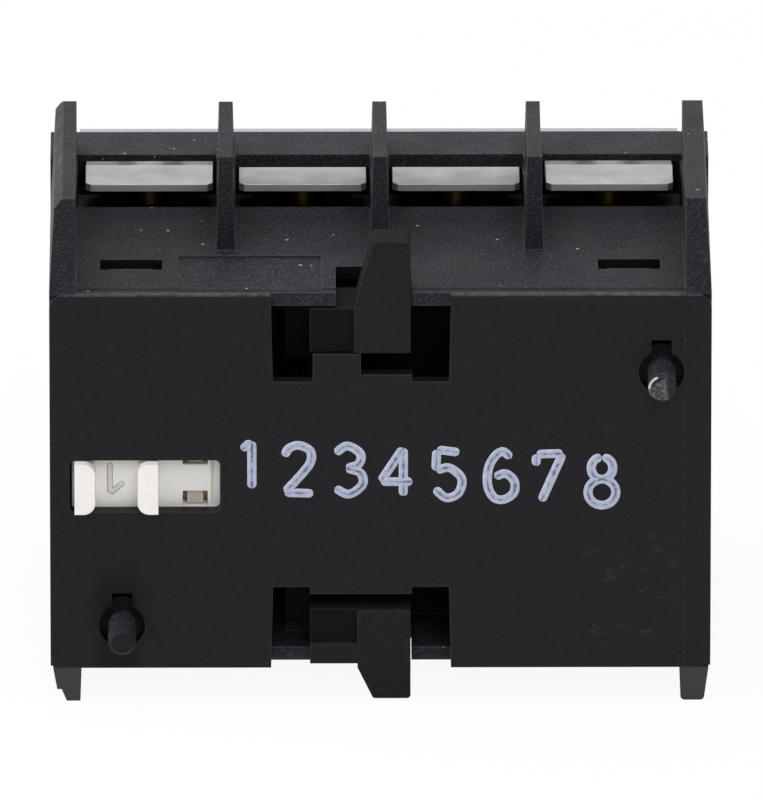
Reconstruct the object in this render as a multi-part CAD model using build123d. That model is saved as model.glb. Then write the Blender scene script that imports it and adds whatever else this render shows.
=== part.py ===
from build123d import *
import math
import os

# Auxiliary contact block, in millimetres. It stands on the feet of its end walls. X runs across the
# block, +Y from the mounting face to the front, +Z up. The origin is the middle of the footprint,
# on the surface that the feet stand on.

# Casing: overall sizes and walls
width = 45.0
roof_length = 16.95
terminal_length = 13.05
plate_height = 27.2
foot_drop = 2.4
end_wall = 1.8
side_wall = 1.2
roof_wall = 0.95
front_wall = 1.3

# End walls that rise over the roof, with draft on their outer faces, and their tapered feet. The left
# foot is cut off obliquely, with a small ledge over the cut.
wall_rise = 7.0
wall_overrun = 2.4
wall_draft = 0.4
wall_bevel_x = 0.9
wall_bevel_z = 1.2
wall_corner = 0.5
corner_steps = 4
foot_length = 25.0
foot_width = 2.15
foot_taper_outer = 0.45
foot_taper_inner = 0.12
foot_corner = 0.3
foot_cut_x = 1.1
foot_cut_z = 0.85
foot_ledge = 0.3

# Insulating fins between the wire channels
fin_offset = 0.15
fin_start = 8.57
fin_overrun = 3.05
fin_rise = 6.8
fin_root = 1.3
fin_tip = 0.95
fin_corner = 0.8

# Terminal compartments in the front of the casing
tray_wall = 1.0
tray_floor_drop = 3.55
tray_floor = 1.1
bar_setback = 0.65
bar_width = 4.4
bar_top = 3.6
bar_thickness_outer = 0.5
bar_thickness_inner = 0.95
front_top = 0.45

# Rear plate: a lip over the casing's edge and a step inside its walls
plate_lip = 0.4
plate_thickness = 1.0
plate_corner = 1.0
plate_fit = 0.1
rail_thickness = 0.8
rail_depth = 1.3

# Latch openings of the rear plate, from the plate's top and bottom edges
opening_left = 7.45
opening_right = 4.8
opening_draft = 0.13
top_slot_depth = 6.35
top_middle_depth = 5.84
tongue_depth = 4.34
tongue_left = -4.6
tongue_right = -1.33
bottom_slot_height = 5.9
bottom_middle_height = 5.38
bottom_rebate = 1.45
middle_right = 2.15

# Locking slide with a hook at each end
latch_travel = 1.2
latch_right = 2.05
arm_left = -1.77
arm_tip_left = -0.5
arm_depth = 2.5
arm_rise = 3.8
arm_clear_floor = 0.15
arm_overlap = 0.4
latch_block_left = -4.8
latch_block_depth = 4.4
latch_block_setback = 0.3
latch_web = 1.4
latch_gap = 0.1
bottom_block_height = 4.17
latch_skirt_height = 1.4
latch_skirt_base = 0.3
latch_notch_left = -3.03
latch_notch_right = 2.12
latch_notch_depth = 5.5
bottom_arm_offset = 0.2
arm_corner = 0.25
lug_thickness = 1.2
lug_setback = 0.6
lug_margin = 0.2
latch_stop_gap = 0.5
backing_rib = 1.0
partition_start = 7.6
partition_thickness = 1.0
partition_margin = 0.5
partition_reach = 3.5

# Snap arms of the rear plate and the slots that they click into
snap_inset = 5.55
bottom_snap_inset = 10.5
snap_width = 3.3
snap_thickness = 1.0
snap_slot_width = 4.24
snap_slot_start = 5.0
snap_slot_length = 1.85
snap_nose = 0.65
snap_clearance = 0.15
snap_lead = 0.5

# Locating pins, which pass through keyhole-shaped holes of the rear plate. The cuts that leave the
# right one's broken end rough are a turn and a lean in degrees, and a distance from the full end.
pin_diameter = 1.9
pin_projection = 3.3
pin_tip = 0.25
pin_breaks = ((20, 14, 0.25), (150, 22, 0.3), (265, 18, 0.35))
left_pin_inset = 4.9
left_pin_height = 3.1
right_pin_inset = 3.4
right_pin_drop = 5.7
pin_hole_diameter = 3.1
keyhole_width = 1.4
keyhole_rise = 0.8
boss_diameter = 3.4
boss_end = 9.0

# Shallow recess for a mark on the roof
mark_left = -13.7
mark_width = 9.7
mark_start = 0.6
mark_length = 6.9
mark_depth = 0.15

# Slider window and white slider
window_width = 10.23
window_base = 11.4
window_height = 3.76
window_corner = 0.35
slider_travel = 3.0
slider_side_gap = 0.3
slider_length = 10.5
slider_thickness = 1.2
slider_overlap = 0.65
slider_gap = 0.1
tab_width = 1.41
tab_spacing = 4.3
tab_inset = 0.18
tab_window_gap = 0.33
tab_proud = 0.7
tab_side_gap = 0.06
tab_corner = 0.8
slot_inset = 7.54
slot_width = 1.7
slot_bar_base = 1.06
slot_bar_height = 1.94
end_groove_inset = 9.5
end_groove_width = 0.2
end_groove_depth = 0.25

# Carrier with two windows for the moving contacts
carrier_depth = 7.0
carrier_height = 6.0
carrier_middle = 10.9
carrier_wall = 1.2
carrier_end_gap = 1.7
carrier_leg_gap = 2.0
carrier_guide_gap = 0.1
prong_width = 1.1
prong_setback = 0.3
stem_width = 3.9
window_side_gap = 0.1
return_lug_x = -0.8
return_lug_rise = 2.0
cradle_spacing = 8.8
cradle_width = 1.2
cradle_wall = 1.0
cradle_rise = 1.5

# Contacts
contact_gap = 2.2
touch_gap = 0.02
tip_width = 2.0
tip_length = 2.4
tip_height = 0.7
bridge_thickness = 0.6
bridge_width = 3.0
bridge_end = 1.3
bridge_corner = 0.5
contact_spacing = 11.0
contact_spring_length = 3.3
strip_thickness = 0.8
ear_height = 3.0
leg_setback = 1.05
leg_width = 2.8
leg_slot_gap = 0.1
strip_side_gap = 0.9
tab_end_gap = 0.3
collar_diameter = 4.4
collar_height = 1.0
collar_gap = 0.15

# Terminal screws and wire clamps
screw_diameter = 2.9
screw_length = 6.5
head_diameter = 4.8
head_height = 1.45
head_bevel = 0.2
shank_bevel = 0.4
head_wall_gap = 0.3
screw_running_gap = 0.05
recess_width = 0.8
recess_depth = 0.8
recess_reach = 1.54
clamp_side_gap = 0.25
clamp_thickness = 0.5
clamp_top = 1.24
clamp_setback = 1.05
clamp_head_gap = 0.4
clamp_step = 1.6
clamp_run = 1.4
clamp_end_gap = 0.3
clamp_bevel = 0.35
clamp_fold = 0.33
clamp_hole_diameter = 3.2

# Marker strip on the front's top edge
marker_thickness = 0.8
marker_below = 4.2
marker_above = 0.84
marker_side_gap = 0.15

# Coil springs and the ribs that they push against
spring_gap = 0.05
spring_seat = 1.2
spring_margin = 0.4
spring_web_gap = 0.2
contact_spring_diameter = 2.6
contact_spring_wire = 0.3
contact_spring_turns = 3
return_spring_diameter = 3.2
return_spring_wire = 0.35
return_spring_turns = 5
return_spring_length = 7.6
locking_spring_diameter = 2.8
locking_spring_wire = 0.35
locking_spring_turns = 4
locking_spring_length = 5.6

# Places that follow from the sizes
depth = roof_length + terminal_length
face_y = (pin_projection - depth) / 2
base_z = foot_drop
roof_z = foot_drop + plate_height
wall_length = roof_length + wall_overrun
fin_end = roof_length + fin_overrun
bar_start = roof_length + bar_setback
bar_end = bar_start + bar_width
inner_x = width / 2 - end_wall
fin_pitch = inner_x / 2 + fin_offset
cavity_x = width / 2 - side_wall
cavity_base = base_z + roof_wall
cavity_top = roof_z - roof_wall
tray_z = roof_z - tray_floor_drop
tray_end = depth - front_wall
fin_centres = [-fin_pitch, 0.0, fin_pitch]
bay_edges = [-inner_x, *fin_centres, inner_x]
terminal_centres = [(place - 1.5) * fin_pitch for place in range(4)]
snap_x = width / 2 - snap_inset
bottom_snap_x = width / 2 - bottom_snap_inset
left_pin_x = left_pin_inset - width / 2
left_pin_z = base_z + left_pin_height
right_pin_x = width / 2 - right_pin_inset
right_pin_z = roof_z - right_pin_drop
slider_left = slider_side_gap - cavity_x
tab_left = slider_left + tab_inset
window_left = tab_left - tab_window_gap
slot_left = slider_left + slot_inset
end_groove_left = slider_left + end_groove_inset
window_z = base_z + window_base
slider_z = window_z + window_height / 2
slider_back = plate_thickness + slider_gap + slider_thickness
carrier_z = base_z + carrier_middle
leg_start = roof_length + leg_setback
carrier_end = leg_start - carrier_leg_gap
carrier_start = carrier_end - carrier_depth
make_stack = contact_gap + 2 * tip_height + bridge_thickness + contact_spring_length + carrier_wall
ear_outer = cavity_x - carrier_end_gap - make_stack
contact_x = ear_outer - strip_thickness / 2
contact_depth = carrier_start + carrier_depth / 2
upper_contact_z = carrier_z + contact_spacing / 2
lower_contact_z = carrier_z - contact_spacing / 2
lug_left = latch_block_left + lug_setback
locking_spring_z = slider_z + window_height / 2 + slider_overlap + slider_gap + rail_thickness + latch_gap
locking_spring_z += locking_spring_diameter / 2
locking_spring_depth = latch_block_depth + spring_web_gap + locking_spring_diameter / 2
return_spring_depth = carrier_start - spring_margin - return_spring_diameter / 2
contact_lift = slider_travel - (contact_gap - touch_gap)
screw_depth = tray_end - head_wall_gap - head_diameter / 2
clamp_width = fin_pitch - fin_root - 2 * clamp_side_gap
clamp_start = roof_length + clamp_setback
clamp_step_end = screw_depth - head_diameter / 2 - clamp_head_gap
tab_plate_width = clamp_width - 2 * strip_side_gap


def slab(x, d, z):
    """Box between two limits on each axis, where d is the depth behind the mounting face."""
    lengths = (x[1] - x[0], d[1] - d[0], z[1] - z[0])
    low_corner = Pos(x[0], face_y + d[0], z[0])
    return low_corner * Box(*lengths, align=(Align.MIN, Align.MIN, Align.MIN))


def carried_across(points, x):
    """Profile of depth and height points, carried from x[0] to x[1]."""
    plane = Plane(origin=(x[0], face_y, 0), x_dir=(0, 1, 0), z_dir=(1, 0, 0))
    outline = plane * make_face(Polyline(*points, close=True))
    return extrude(outline, amount=x[1] - x[0])


def carried_back(points, d):
    """Profile of across and height points, carried from depth d[0] to d[1]."""
    plane = Plane(origin=(0, face_y + d[0], 0), x_dir=(1, 0, 0), z_dir=(0, -1, 0))
    outline = plane * make_face(Polyline(*points, close=True))
    return extrude(outline, amount=d[0] - d[1])


def rod(x, z, d, diameter):
    """Round bar along the depth, from d[0] to d[1]."""
    place = Pos(x, face_y + d[0], z) * Rot(-90, 0, 0)
    return place * Cylinder(diameter / 2, d[1] - d[0], align=(Align.CENTER, Align.CENTER, Align.MIN))


def post(x, d, z, diameter):
    """Upright round bar from z[0] to z[1]."""
    place = Pos(x, face_y + d, z[0])
    return place * Cylinder(diameter / 2, z[1] - z[0], align=(Align.CENTER, Align.CENTER, Align.MIN))


def spans(values):
    """Neighbouring pairs of a list of edges."""
    return list(zip(values[:-1], values[1:]))


def bay_spans():
    """Clear width of each terminal bay, between its two walls."""
    half = fin_root / 2
    clear = []
    for index, (left, right) in enumerate(spans(bay_edges)):
        low = left if index == 0 else left + half
        high = right if index == len(bay_edges) - 2 else right - half
        clear.append((low, high))
    return clear


bays = bay_spans()


def wall_profile(length, rise, corner):
    """Upright wall over the roof with a rounded far top corner, as depth and height points."""
    points = [(0, roof_z), (0, roof_z + rise), (length - corner, roof_z + rise)]
    for step in range(1, corner_steps + 1):
        angle = math.pi / 2 * (1 - step / corner_steps)
        across = length - corner + corner * math.cos(angle)
        points.append((across, roof_z + rise - corner + corner * math.sin(angle)))
    points.append((length, roof_z))
    return points


def shoulder_profile(start):
    """Block over the terminals, which slopes down from the bar to the front."""
    return [
        (start, tray_z - tray_floor),
        (start, roof_z + bar_top),
        (bar_end, roof_z + bar_top),
        (depth, roof_z + front_top),
        (depth, tray_z - tray_floor),
    ]


def end_walls():
    """Both end walls over the roof, with outer draft, the left one bevelled on its outer top edge."""
    low, high = inner_x, width / 2
    wall = carried_across(wall_profile(wall_length, wall_rise, wall_corner), (low, high))
    wall += carried_across(shoulder_profile(bar_start), (low, high))
    top = roof_z + wall_rise
    wedge = carried_back([(high, roof_z), (high, top), (high - wall_draft, top)], (0, depth))
    right = wall - wedge
    bevel = [(-high, top), (-high, top - wall_bevel_z), (-high + wall_bevel_x, top)]
    left = mirror(right, about=Plane.YZ) - carried_back(bevel, (0, wall_length))
    return right + left


def feet():
    """Both feet, which taper downwards. The right one ends in rounded corners, the left one in a cut."""
    outer = width / 2
    inner = outer - foot_width
    top = base_z + roof_wall
    bottom_inner = inner + foot_taper_inner
    bottom_outer = outer - foot_taper_outer
    run = (0, foot_length)
    right = carried_back([(inner, top), (bottom_inner, 0), (bottom_outer, 0), (outer, top)], run)
    right = fillet(right.edges().filter_by(Axis.Y).group_by(Axis.Z)[0], foot_corner)
    cut_x = -outer + foot_cut_x
    ledge_x = -bottom_outer + foot_ledge
    outline = [
        (-inner, top),
        (-bottom_inner, 0),
        (cut_x, 0),
        (ledge_x, foot_cut_z),
        (-bottom_outer, foot_cut_z),
        (-outer, top),
    ]
    left = carried_back(outline, run)
    over_lip = slab((-outer, outer), (0, plate_lip), (base_z, top))
    return right + left - over_lip


def fin(centre):
    """Insulating fin with draft, rounded at its far top corner, and the partition behind it."""
    place = Pos(centre, face_y + (fin_start + fin_end) / 2, roof_z)
    run = fin_end - fin_start
    root = place * Rectangle(fin_root, run)
    tip = place * Pos(0, 0, fin_rise) * Rectangle(fin_tip, run)
    blade = loft([root, tip])
    far_edge = blade.edges().filter_by(Axis.X).group_by(Axis.Z)[-1].sort_by(Axis.Y)[-1]
    blade = fillet(far_edge, fin_corner)
    half = fin_root / 2
    return blade + carried_across(shoulder_profile(roof_length), (centre - half, centre + half))


def bars():
    """Bridging bar over the terminals, thinner over the two outer bays."""
    joined = Part()
    for index, (low, high) in enumerate(spans(bay_edges)):
        outer = index in (0, len(bay_edges) - 2)
        thickness = bar_thickness_outer if outer else bar_thickness_inner
        top = roof_z + bar_top
        joined += slab((low, high), (bar_start, bar_end), (top - thickness, top))
    return joined


def boss(x, z):
    """Boss behind the plate with a web to the nearer side wall, and the pin on its end."""
    side = 1 if x > 0 else -1
    radius = boss_diameter / 2
    start = plate_thickness + plate_fit
    round_part = rod(x, z, (start, boss_end), boss_diameter)
    wall_x = side * (cavity_x + side_wall / 2)
    web = slab((min(x, wall_x), max(x, wall_x)), (start, boss_end), (z - radius / 2, z + radius / 2))
    return round_part + web


def locating_pins():
    """The left pin has a chamfered tip. The right one is broken off, with a rough sloping end."""
    run = (-pin_projection, boss_end)
    left = rod(left_pin_x, left_pin_z, run, pin_diameter)
    tip_edge = left.edges().filter_by(GeomType.CIRCLE).sort_by(Axis.Y)[0]
    left = chamfer(tip_edge, pin_tip)
    right = rod(right_pin_x, right_pin_z, run, pin_diameter)
    side = 3 * pin_diameter
    tool = Box(side, pin_diameter, side, align=(Align.CENTER, Align.MAX, Align.CENTER))
    for turn, lean, setback in pin_breaks:
        end = Pos(right_pin_x, face_y - pin_projection + setback, right_pin_z)
        right -= end * Rot(0, turn, 0) * Rot(lean, 0, 0) * tool
    return left + right


def casing_hollow():
    """Inside of the casing: the contact chamber and the space under the roof."""
    chamber = slab((-cavity_x, cavity_x), (0, tray_end), (cavity_base, tray_z - tray_floor))
    loft_space = slab((-cavity_x, cavity_x), (0, roof_length - tray_wall), (cavity_base, cavity_top))
    return chamber + loft_space


def housing():
    """Black moulded casing with all that is moulded to it."""
    half = width / 2
    body = slab((-half, half), (plate_lip, depth), (base_z, roof_z))
    terminals = Part()
    for low, high in bays:
        terminals += slab((low, high), (roof_length, tray_end), (tray_z, roof_z + wall_rise))
    body = body + carried_across(shoulder_profile(roof_length), (-half, half)) - casing_hollow()
    over_roof = slab((-inner_x, inner_x), (roof_length, bar_end), (roof_z, roof_z + bar_top))
    body = body - terminals - over_roof + end_walls() + feet() + bars()
    for centre in fin_centres:
        body += fin(centre)

    # Latch notches in the roof and the bottom wall
    notch_x = (latch_notch_left, latch_notch_right)
    body -= slab(notch_x, (0, latch_notch_depth), (cavity_top - 1, roof_z + 1))
    body -= slab(notch_x, (0, latch_notch_depth), (0, cavity_base))
    rebate_x = (-opening_left, opening_right)
    body -= slab(rebate_x, (0, bottom_rebate), (base_z, cavity_base))

    # Slots for the snap arms, with relieved corners on the plate's side
    slot_end = snap_slot_start + snap_slot_length
    half_slot = snap_slot_width / 2
    for x in (-snap_x, snap_x):
        body -= slab((x - half_slot, x + half_slot), (snap_slot_start, slot_end), (cavity_top, roof_z))
        for side in (-1, 1):
            edge = x + side * half_slot
            relief = (min(edge, edge - side * snap_nose), max(edge, edge - side * snap_nose))
            body -= slab(relief, (snap_slot_start - snap_clearance, slot_end), (cavity_top, roof_z))
    for x in (-bottom_snap_x, bottom_snap_x):
        body -= slab((x - half_slot, x + half_slot), (snap_slot_start, slot_end), (base_z, cavity_base))

    # Recess for a mark on the roof, left bare
    mark = (mark_left, mark_left + mark_width)
    body -= slab(mark, (mark_start, mark_start + mark_length), (roof_z - mark_depth, roof_z))

    # Holes in the compartment floors for the strips' legs and collars
    for centre in terminal_centres:
        leg = leg_width / 2 + leg_slot_gap
        leg_run = (leg_start - leg_slot_gap, leg_start + strip_thickness + leg_slot_gap)
        body -= slab((centre - leg, centre + leg), leg_run, (tray_z - tray_floor, tray_z))
        body -= post(centre, screw_depth, (tray_z - tray_floor, tray_z), collar_diameter + 2 * collar_gap)

    # Seat of the marker strip
    seat = (-inner_x, inner_x)
    body -= slab(seat, (depth - marker_thickness, depth), (roof_z - marker_below, roof_z + bar_top))
    body += boss(left_pin_x, left_pin_z) + boss(right_pin_x, right_pin_z)
    body += latch_ribs() + partitions()
    return body + locating_pins() + spring_seats() + carrier_cradles()


def latch_ribs():
    """Ribs under the roof and over the bottom wall that back the locking slide."""
    across = (latch_block_left - latch_travel - latch_stop_gap, latch_notch_left - latch_gap)
    start = latch_block_depth + latch_gap
    top_rib = slab(across, (start, start + backing_rib), (roof_z - top_slot_depth, cavity_top))
    low_rib = slab(across, (start, start + backing_rib), (cavity_base, base_z + bottom_slot_height))
    return top_rib + low_rib


def partitions():
    """Walls between the latch openings and the contact chamber, from the roof and the bottom wall."""
    across = (-opening_left - partition_margin, opening_right + partition_margin)
    run = (partition_start, partition_start + partition_thickness)
    low_edge = roof_z - top_slot_depth - partition_reach
    upper = slab(across, run, (low_edge, cavity_top))
    return upper + slab(across, run, (cavity_base, base_z + bottom_slot_height))


def spring_seats():
    """The rib that the locking spring pushes against, and the post that the return spring does."""
    face = lug_left - locking_spring_length
    radius = locking_spring_diameter / 2
    run = (latch_block_depth + latch_gap, locking_spring_depth + radius)
    rib = slab((face - spring_seat, face), run, (locking_spring_z - radius - spring_margin, cavity_top))
    face = return_lug_x + return_spring_length
    radius = return_spring_diameter / 2
    run = (return_spring_depth - radius - spring_margin, carrier_start - carrier_guide_gap)
    top = carrier_z + radius + spring_margin
    return rib + slab((face, face + spring_seat), run, (cavity_base, top))


def carrier_cradles():
    """Two upright ribs with raised ends, which the carrier slides in."""
    cradles = Part()
    under = carrier_z - carrier_height / 2 - carrier_guide_gap
    front = carrier_start - carrier_guide_gap
    back = carrier_end + carrier_guide_gap
    for side in (-1, 1):
        middle = side * cradle_spacing / 2
        rib = (middle - cradle_width / 2, middle + cradle_width / 2)
        cradles += slab(rib, (front - cradle_wall, back + cradle_wall), (cavity_base, under))
        cradles += slab(rib, (front - cradle_wall, front), (under, under + cradle_rise))
        cradles += slab(rib, (back, back + cradle_wall), (under, under + cradle_rise))
    return cradles


def opening_outlines():
    """Outlines of the two latch openings, as across and height points."""
    left, right = -opening_left, opening_right
    top, low = roof_z, base_z
    upper = [
        (left, top),
        (left + opening_draft, top - top_slot_depth),
        (tongue_left, top - top_slot_depth),
        (tongue_left, top - tongue_depth),
        (tongue_right, top - tongue_depth),
        (tongue_right, top - top_middle_depth),
        (middle_right, top - top_middle_depth),
        (middle_right, top - top_slot_depth),
        (right - opening_draft, top - top_slot_depth),
        (right, top),
    ]
    lower = [
        (left, low),
        (left + opening_draft, low + bottom_slot_height),
        (latch_block_left, low + bottom_slot_height),
        (latch_block_left, low + bottom_middle_height),
        (middle_right, low + bottom_middle_height),
        (middle_right, low + bottom_slot_height),
        (right - opening_draft, low + bottom_slot_height),
        (right, low),
    ]
    return upper, lower


def snap_arm(x, side):
    """Snap arm under the roof (side 1) or over the bottom wall (side -1), with its nose."""
    wall_face = cavity_top if side > 0 else cavity_base
    outer = wall_face - side * snap_clearance
    inner = outer - side * snap_thickness
    half = snap_width / 2
    end = snap_slot_start + snap_slot_length - snap_clearance
    start = snap_slot_start + snap_clearance
    nose = outer + side * (snap_nose + snap_clearance)
    points = [
        (plate_lip, inner),
        (plate_lip, outer),
        (start, outer),
        (start, nose),
        (start + snap_lead, nose),
        (end, outer),
        (end, inner),
    ]
    return carried_across(points, (x - half, x + half))


def keyhole(x, z):
    """Clearance hole for a locating pin, with a narrow notch on its top."""
    through = (0, plate_thickness)
    half = keyhole_width / 2
    top = z + pin_hole_diameter / 2 + keyhole_rise
    return rod(x, z, through, pin_hole_diameter) + slab((x - half, x + half), through, (z, top))


def base_plate():
    """Black rear plate with its lip, inner step, latch openings, window, rails and snap arms."""
    half = width / 2
    lip = slab((-half, half), (0, plate_lip), (base_z, roof_z))
    lip = fillet(lip.edges().filter_by(Axis.Y), plate_corner)
    inset = cavity_x - plate_fit
    step_z = (cavity_base + plate_fit, cavity_top - plate_fit)
    plate = lip + slab((-inset, inset), (plate_lip, plate_thickness), step_z)
    for outline in opening_outlines():
        plate -= carried_back(outline, (0, plate_thickness))
    window_x = (window_left, window_left + window_width)
    window = slab(window_x, (0, plate_thickness), (window_z, window_z + window_height))
    plate -= fillet(window.edges().filter_by(Axis.Y), window_corner)
    plate -= keyhole(left_pin_x, left_pin_z)
    plate -= keyhole(right_pin_x, right_pin_z)
    slider_half = window_height / 2 + slider_overlap + slider_gap
    rail_x = (-inset, slider_left + slider_length + slider_travel)
    rail_run = (plate_lip, plate_thickness + rail_depth)
    for side in (-1, 1):
        near = slider_z + side * slider_half
        far = near + side * rail_thickness
        plate += slab(rail_x, rail_run, (min(near, far), max(near, far)))
    for x in (-snap_x, snap_x):
        plate += snap_arm(x, 1)
    for x in (-bottom_snap_x, bottom_snap_x):
        plate += snap_arm(x, -1)
    return plate


def hook_arm(left, root, tip, slant_end):
    """One hook: an upright arm from the root's height to the tip's, slanting in on its left side."""
    outline = [(left, root), (latch_right, root), (latch_right, tip), (arm_tip_left, tip), (left, slant_end)]
    arm = carried_back(outline, (0, arm_depth))
    far_end = arm.edges().filter_by(Axis.Y).group_by(Axis.Z)[-1 if tip > root else 0]
    return fillet(far_end, arm_corner)


def locking_slide():
    """Sideways locking slide: a block and a hook at each end of a web, and a lug for its spring."""
    high_root = roof_z - tongue_depth + latch_gap
    low_root = base_z + bottom_block_height
    low_left = arm_left + bottom_arm_offset
    slide = hook_arm(arm_left, high_root, roof_z + arm_rise, cavity_top)
    slide += hook_arm(low_left, low_root, arm_clear_floor, base_z)
    block_top = cavity_top - 2 * latch_gap
    block_base = cavity_base + latch_gap
    block_run = (latch_block_setback, latch_block_depth)
    joint_x = arm_left + arm_overlap
    slide += slab((latch_block_left, joint_x), block_run, (high_root, block_top))
    slide += slab((latch_block_left, joint_x), block_run, (block_base, low_root))
    skirt_base = base_z + latch_skirt_base
    skirt_z = (skirt_base, skirt_base + latch_skirt_height)
    slide += slab((latch_block_left, low_left), (0, plate_lip - latch_gap), skirt_z)
    web_run = (latch_block_depth - latch_web, latch_block_depth)
    slide += slab((latch_block_left, joint_x), web_run, (block_base, block_top))
    radius = locking_spring_diameter / 2
    lug_run = (latch_block_depth - latch_web, locking_spring_depth + radius)
    lug_z = (locking_spring_z - radius - lug_margin, locking_spring_z + radius + lug_margin)
    return slide + slab((lug_left, lug_left + lug_thickness), lug_run, lug_z)


def actuator_slider():
    """White slider: a floor behind the window, two driving tabs and a barred slot."""
    front = plate_thickness + slider_gap
    half = window_height / 2 + slider_overlap
    slider = slab(
        (slider_left, slider_left + slider_length),
        (front, slider_back),
        (slider_z - half, slider_z + half),
    )
    tab_half = window_height / 2 - tab_side_gap
    tab_z = (slider_z - tab_half, slider_z + tab_half)
    for step in range(2):
        left = tab_left + step * tab_spacing
        tab = slab((left, left + tab_width), (-tab_proud, slider_back), tab_z)
        across = tab.edges().filter_by(Axis.Y).sort_by(Axis.X)
        inner_edges = across[2:] if step == 0 else across[:2]
        slider += fillet(inner_edges, tab_corner)
    low = window_z + tab_side_gap
    high = window_z + window_height - tab_side_gap
    slot = slab((slot_left, slot_left + slot_width), (front, slider_back), (low, high))
    groove_x = (end_groove_left, end_groove_left + end_groove_width)
    groove = slab(groove_x, (front, front + end_groove_depth), (low, high))
    bar_low = low + slot_bar_base
    bar_run = (front, front + slider_thickness / 2)
    bar = slab((slot_left, slot_left + slot_width), bar_run, (bar_low, bar_low + slot_bar_height))
    return slider - slot - groove + bar


def make_bar_left():
    """Left face of the make contact's bar at rest, a gap away from its fixed tips."""
    return -ear_outer - tip_height - contact_gap - tip_height - bridge_thickness


def break_bar_left():
    """Left face of the break contact's bar at rest, closed on its fixed tips."""
    return ear_outer + tip_height + touch_gap + tip_height


def carrier_windows():
    """Limits across of the make window and the break window, spring space included."""
    make = (make_bar_left() - contact_spring_length, make_bar_left() + bridge_thickness + touch_gap)
    bar = break_bar_left()
    after = bar + bridge_thickness + contact_spring_length
    return make, (bar - contact_lift - touch_gap, after)


def contact_carrier():
    """Beige carrier: a bar with two windows, a stem to the slider and a return spring lug."""
    make, brake = carrier_windows()
    half = carrier_height / 2
    z_run = (carrier_z - half, carrier_z + half)
    carrier = slab((make[0] - carrier_wall, brake[1] + carrier_wall), (carrier_start, carrier_end), z_run)
    opening = bridge_width / 2 + window_side_gap
    for low, high in (make, brake):
        carrier -= slab((low, high), (contact_depth - opening, contact_depth + opening), z_run)
    middle = slot_left + slot_width / 2
    stem_x = (middle - stem_width / 2, middle + stem_width / 2)
    window_z_run = (window_z + 2 * tab_side_gap, window_z + window_height - 2 * tab_side_gap)
    carrier += slab(stem_x, (slider_back + touch_gap, carrier_start), window_z_run)
    prong = (middle - prong_width / 2, middle + prong_width / 2)
    prong_run = (plate_thickness + slider_gap + prong_setback, slider_back + touch_gap)
    bar_low = window_z + tab_side_gap + slot_bar_base
    bar_high = bar_low + slot_bar_height
    carrier += slab(prong, prong_run, (window_z_run[0], bar_low - touch_gap))
    carrier += slab(prong, prong_run, (bar_high + touch_gap, window_z_run[1]))
    lug_x = (return_lug_x - lug_thickness, return_lug_x)
    lug_run = (return_spring_depth - return_spring_diameter / 2, carrier_start)
    return carrier + slab(lug_x, lug_run, (carrier_z - return_lug_rise, carrier_z + return_lug_rise))


def bridge(left):
    """Moving contact bar, upright, with its corners cut off."""
    half = bridge_width / 2
    z_run = (lower_contact_z - bridge_end, upper_contact_z + bridge_end)
    bar = slab((left, left + bridge_thickness), (contact_depth - half, contact_depth + half), z_run)
    return chamfer(bar.edges().filter_by(Axis.X), bridge_corner)


def tips(left):
    """Two silver tips, one at each contact height, that stand on a plate from left."""
    pair = Part()
    half = tip_width / 2
    rise = tip_length / 2
    for z in (lower_contact_z, upper_contact_z):
        run = (contact_depth - half, contact_depth + half)
        pair += slab((left, left + tip_height), run, (z - rise, z + rise))
    return pair


def strip(index):
    """Terminal strip: a threaded tab, a leg through the floor, an arm and a contact ear."""
    centre = terminal_centres[index]
    side = 1 if centre > 0 else -1
    contact = side * contact_x
    outer = index in (0, len(terminal_centres) - 1)
    z = lower_contact_z if outer else upper_contact_z
    tab_half = tab_plate_width / 2
    tab_run = (leg_start, tray_end - tab_end_gap)
    tab = slab((centre - tab_half, centre + tab_half), tab_run, (tray_z, tray_z + strip_thickness))
    leg_half = leg_width / 2
    leg_run = (leg_start, leg_start + strip_thickness)
    low_z, high_z = z - ear_height / 2, z + ear_height / 2
    leg = slab((centre - leg_half, centre + leg_half), leg_run, (low_z, tray_z + strip_thickness / 2))
    ear_x = (contact - strip_thickness / 2, contact + strip_thickness / 2)
    arm = slab((min(ear_x[0], centre), max(ear_x[1], centre)), leg_run, (low_z, high_z))
    ear = slab(ear_x, (contact_depth - tip_width, leg_run[1]), (low_z, high_z))
    collar_z = (tray_z - collar_height, tray_z)
    joined = tab + leg + arm + ear + post(centre, screw_depth, collar_z, collar_diameter)
    bore = screw_diameter + 2 * screw_running_gap
    return joined - post(centre, screw_depth, (tray_z - collar_height, tray_z + strip_thickness), bore)


def clamp_levels():
    """Top of the clamp's lip and of its pressing part."""
    lip = roof_z + clamp_top
    return lip, lip - clamp_step


def clamp_plate(centre):
    """Stepped wire clamp: a raised lip at the wire's entry and a flat part under the screw."""
    lip, flat = clamp_levels()
    step = clamp_step_end - clamp_run
    end = tray_end - clamp_end_gap
    points = [
        (clamp_start, lip),
        (step, lip),
        (clamp_step_end, flat),
        (end, flat),
        (end, flat - clamp_thickness),
        (clamp_step_end - clamp_fold, flat - clamp_thickness),
        (step - clamp_fold, lip - clamp_thickness),
        (clamp_start, lip - clamp_thickness),
    ]
    half = clamp_width / 2
    plate = carried_across(points, (centre - half, centre + half))
    corners = plate.edges().filter_by(Axis.Z).group_by(Axis.Y)[0]
    plate = chamfer(corners, clamp_bevel)
    hole_z = (flat - clamp_thickness, flat)
    return plate - post(centre, screw_depth, hole_z, clamp_hole_diameter)


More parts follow.
